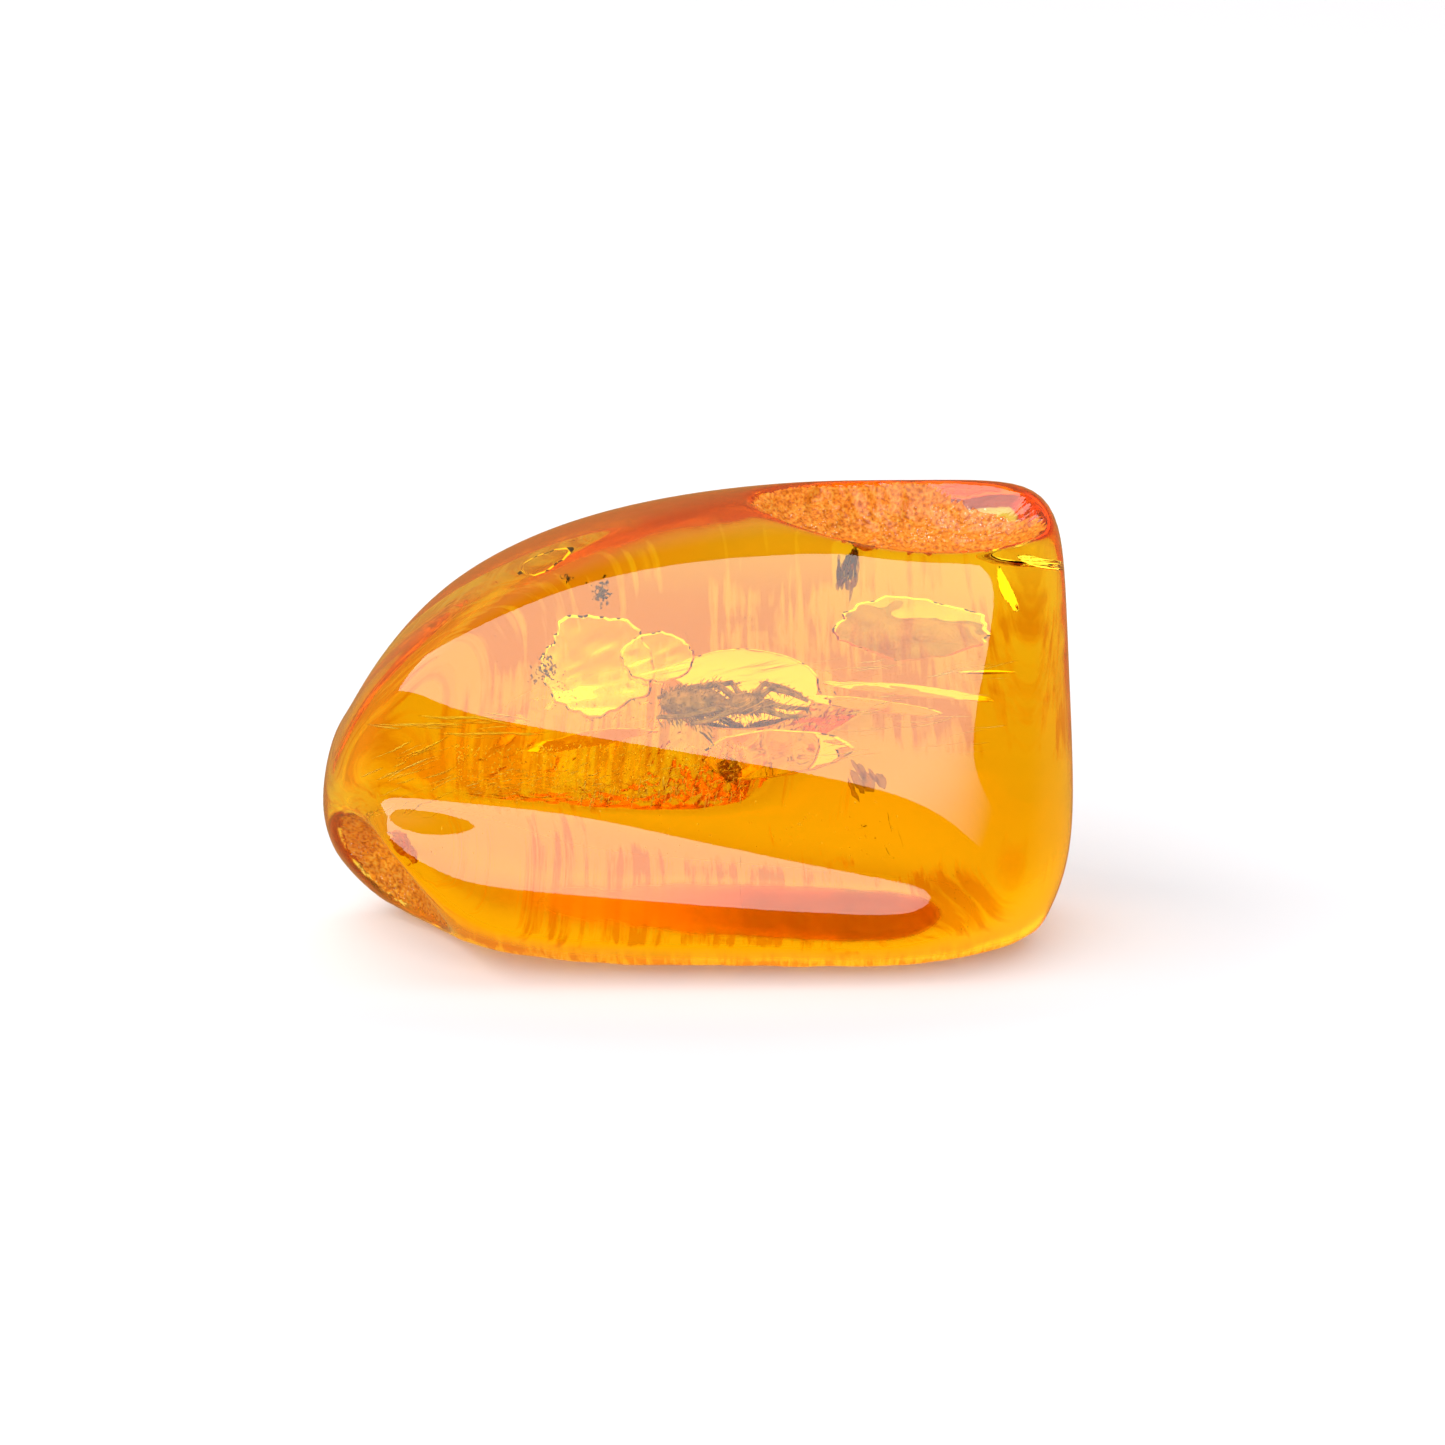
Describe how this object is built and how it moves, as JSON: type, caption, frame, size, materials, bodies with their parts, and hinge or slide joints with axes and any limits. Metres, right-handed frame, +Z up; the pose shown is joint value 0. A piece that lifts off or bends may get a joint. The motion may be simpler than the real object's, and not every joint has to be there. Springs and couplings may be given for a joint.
{
  "type": "amber with inclusion",
  "caption": "Polished freeform piece of clear golden amber with a small spider sealed inside, arched on top, with rough crust left in its hollows and a flat base to stand on.",
  "frame": {"origin": "middle of the part's box, at the level that the base rests on", "axes": "+X along the longest side, to the squared-off end; +Z up; -Y is the polished face that shows the spider"},
  "size_m": [0.0306, 0.0144, 0.0183],
  "materials": {
    "amber": "polished, see-through golden amber",
    "chitin": "dull, dried"
  },
  "bodies": {
    "root": {"amber_top": "amber", "amber_bottom": "amber", "spider": "chitin"}
  },
  "joints": []
}
